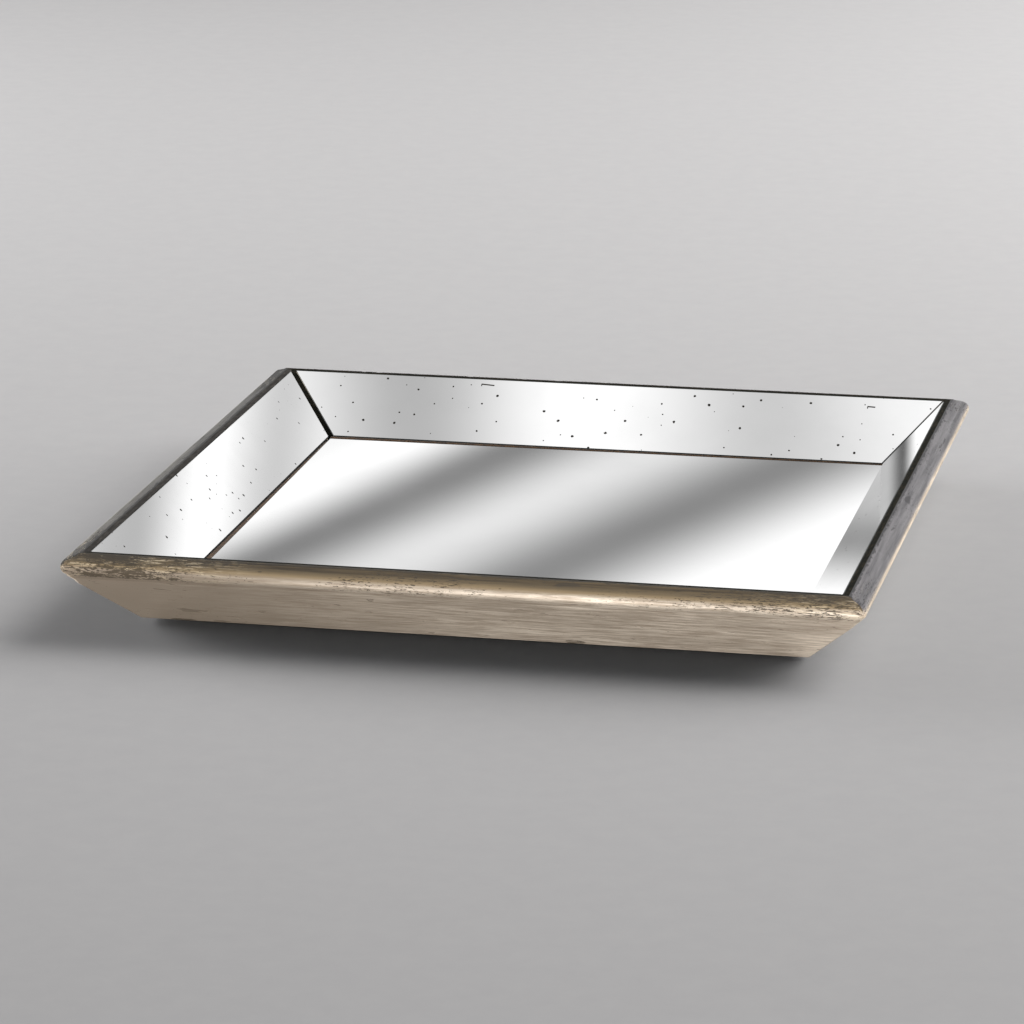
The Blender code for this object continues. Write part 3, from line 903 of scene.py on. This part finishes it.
def add_card(name, place, turn, low, high, glow, fade=(0, 0, 0, 0), colour=(1, 1, 1, 1)):
    """A glowing panel that only gloss and mirrors see; glow(tree) gives its brightness socket.

    fade is how far in from its low x, high x, low y and high y edges the panel thins out.
    """
    made = bpy.data.materials.new(name)
    made.use_nodes = True
    tree = made.node_tree
    tree.nodes.clear()
    emission = node(tree, "Emission", {"Color": colour, "Strength": glow(tree)})
    x, y, _ = split(tree, place_on(tree))
    solid = 1.0
    for along, edge, inwards, margin in ((x, low[0], 1, fade[0]), (x, high[0], -1, fade[1]),
                                         (y, low[1], 1, fade[2]), (y, high[1], -1, fade[3])):
        if margin:
            thinned = ramp(tree, along, edge, edge + inwards * margin)
            solid = math_of(tree, "MULTIPLY", solid, thinned)
    mixer = node(tree, "MixShader", {"Fac": solid, 1: node(tree, "BsdfTransparent").outputs[0],
                                     2: emission.outputs[0]})
    link(tree, mixer.outputs[0], node(tree, "OutputMaterial").inputs["Surface"])
    bm = bmesh.new()
    corners = [(low[0], low[1]), (high[0], low[1]), (high[0], high[1]), (low[0], high[1])]
    bm.faces.new([bm.verts.new((x, y, 0.0)) for x, y in corners])
    card = new_piece(name, bm, [made])
    card.location = place
    card.rotation_euler = turn
    for ray in ("camera", "diffuse", "shadow", "transmission", "volume_scatter"):
        setattr(card, "visible_" + ray, False)
    card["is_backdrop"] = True


def bands(tree, position, stops):
    """Brightness that eases between (position, brightness) stops."""
    start, end = stops[0][0], stops[-1][0]
    ramp_node = node(tree, "ValToRGB", {"Fac": ramp(tree, position, start, end, smooth=False)})
    ramp_node.color_ramp.interpolation = "EASE"
    elements = ramp_node.color_ramp.elements
    while len(elements) < len(stops):
        elements.new(0.5)
    top = max(value for _, value in stops)
    for element, (at, value) in zip(elements, stops):
        element.position = (at - start) / (end - start)
        element.color = (value / top,) * 3 + (1.0,)
    return math_of(tree, "MULTIPLY", ramp_node.outputs["Color"], top)


def back_glow(tree):
    """Slanting soft stripes for the floor mirror, flatter ones beside them for the left mirror, and
    upright ones below for the right mirror, which sees the card by way of the floor mirror."""
    x, z, _ = split(tree, place_on(tree))
    slanting = math_of(tree, "ADD", z, math_of(tree, "MULTIPLY", x, 0.5))
    floor_glow = bands(tree, slanting, ((-0.5, 0.5), (0.0, 0.35), (0.15, 1.05), (0.19, 1.25),
                                        (0.247, 0.24), (0.313, 0.92), (0.393, 0.27), (0.49, 1.3),
                                        (0.56, 1.1), (0.8, 0.4), (1.3, 1.0), (2.0, 0.6)))
    level = math_of(tree, "SUBTRACT", z, math_of(tree, "MULTIPLY", x, 0.12))
    left_glow = bands(tree, level, ((0.0, 0.5), (0.25, 0.7), (0.4, 1.15), (0.475, 0.72),
                                    (0.55, 1.3), (0.62, 0.56), (0.75, 1.0), (1.0, 0.5), (2.0, 0.9)))
    upright = bands(tree, x, ((-1.5, 0.9), (-0.8, 0.5), (-0.42, 1.35), (-0.35, 0.35), (-0.305, 0.63),
                              (-0.15, 1.0), (0.5, 0.6), (1.5, 1.0)))
    upper = blend_value(tree, ramp(tree, x, 0.0, 0.15), floor_glow, left_glow)
    return blend_value(tree, ramp(tree, z, 0.33, 0.43), upright, upper)


def low_glow(tree):
    """Soft stripes across a card behind the tray, for the rear of the right mirror."""
    _, y, _ = split(tree, place_on(tree))
    return bands(tree, y, ((0.1, 0.5), (0.2, 0.56), (0.277, 0.15), (0.355, 1.15), (0.6, 0.8)))


def table_glow(tree):
    """Even brightness that fades at the card's edges, for the nose of the front rail."""
    x, y, _ = split(tree, place_on(tree))
    sides = math_of(tree, "MULTIPLY", ramp(tree, x, -0.16, -0.08), ramp(tree, x, 0.32, 0.24))
    depth = math_of(tree, "MULTIPLY", ramp(tree, y, -0.24, -0.27), ramp(tree, y, -0.9, -0.6))
    return math_of(tree, "MULTIPLY", math_of(tree, "MULTIPLY", sides, depth), 1.6)


def rim_glow(tree):
    """Brightness beside the tray, for the outer rims of the left and right rails."""
    x, _, _ = split(tree, place_on(tree))
    return ramp(tree, x, -0.1, 0.1, 2.2, 1.3)


def overhead_glow(tree):
    """Broad soft stripes from side to side for the back mirror."""
    x, _, _ = split(tree, place_on(tree))
    return bands(tree, x, ((-1.2, 0.6), (-0.8, 1.1), (-0.58, 1.2), (-0.42, 0.56), (-0.26, 1.3),
                           (-0.09, 0.73), (0.06, 1.15), (0.4, 0.7), (0.8, 1.1), (1.4, 0.6)))


def make_world():
    """Pale grey all round, dim for lighting; gloss sees it with soft brighter bands."""
    world = bpy.data.worlds.new("studio")
    world.use_nodes = True
    bpy.context.scene.world = world
    tree = world.node_tree
    background = tree.nodes["Background"]
    background.inputs["Color"].default_value = rgb(228, 229, 232)
    direction = node(tree, "TexCoord").outputs["Generated"]
    stretched = node(tree, "Mapping", {"Vector": direction, "Scale": (9.0, 9.0, 22.0),
                                       "Rotation": (0.3, 0.2, 0.0)}).outputs[0]
    bright = ramp(tree, noise_of(tree, stretched, 1.0, 0.0), 0.35, 0.65, 0.3, 1.05)
    glossy = node(tree, "LightPath").outputs["Is Glossy Ray"]
    link(tree, blend_value(tree, glossy, 0.1, bright), background.inputs["Strength"])


def add_cards():
    """What the mirrors and the leaf's gloss see: cards behind, beside, before and over the tray."""
    upright = (QUARTER_TURN, 0, 0)
    flat = (0, 0, 0)
    add_card("back_card", (0, BACK_CARD_Y, 0), upright, (-2.2, 0.02), (2.2, 2.0), back_glow,
             (0.5, 0.5, 0, 0.5))
    add_card("low_card", (0, 0, FLOOR_HIGH.z), flat, (-0.22, 0.1771), (0.22, 0.6), low_glow,
             (0, 0, 0, 0.15))
    add_card("table_card", (0, 0, CARD_LIFT), flat, (-0.25, -0.95), (0.35, -0.235), table_glow)
    for name, near, far in (("left_card", -0.7, -0.236), ("right_card", 0.236, 0.3)):
        add_card(name, (0, 0, CARD_LIFT), flat, (near, -0.22), (far, 1.2), rim_glow,
                 (0, 0, 0, 0.8), rgb(255, 244, 224))
    add_card("overhead_card", (0, 0, OVERHEAD_CARD_Z), flat, (-1.2, -1.2), (1.4, 1.2),
             overhead_glow, (0.1, 0.2, 0.2, 0.2))


def light_only(lights, name, pieces):
    """Let these lights fall on nothing but these pieces."""
    lit = bpy.data.collections.new(name)
    for piece in pieces:
        lit.objects.link(piece)
    for light in lights:
        light.light_linking.receiver_collection = lit


def add_lights():
    """A soft key over the tray's right back, low fills for the tray and one for the floor."""
    key = add_area_light("key", (2.2, 1.9, 1.8), (0, 0, 0), (3.4, 3.4), 160, (1.0, 0.99, 0.98))
    fills = [add_area_light("front_fill", (1.1, -2.9, 0.16), (0, 0, 0.03), (2.4, 0.28), 238,
                            (1.0, 0.98, 0.96))]
    for name, place in (("back_fill", (-0.6, 2.6, 0.16)), ("left_fill", (-1.7, -0.2, 0.12)),
                        ("right_fill", (2.6, 0.4, 0.16))):
        fills.append(add_area_light(name, place, (0, 0, 0.03), (1.6, 0.28), 25))
    floor_fill = add_area_light("floor_fill", (-2.6, 0.7, 0.55), (0, 0, 0), (1.8, 0.8), 58)
    for light in (key, *fills, floor_fill):
        light.visible_glossy = False
    light_only(fills, "lit by the low fills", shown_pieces())
    light_only([floor_fill], "lit by the floor fill", [bpy.data.objects["studio_floor"]])


def make_studio():
    make_world()
    add_cards()
    add_lights()
    bpy.context.scene.view_settings.view_transform = "Standard"


make_camera()
make_table()
make_rails()
make_mirrors()
make_mastic()
make_backing_felt()
make_foot_pads()
dress_cad_nodes()
make_studio()
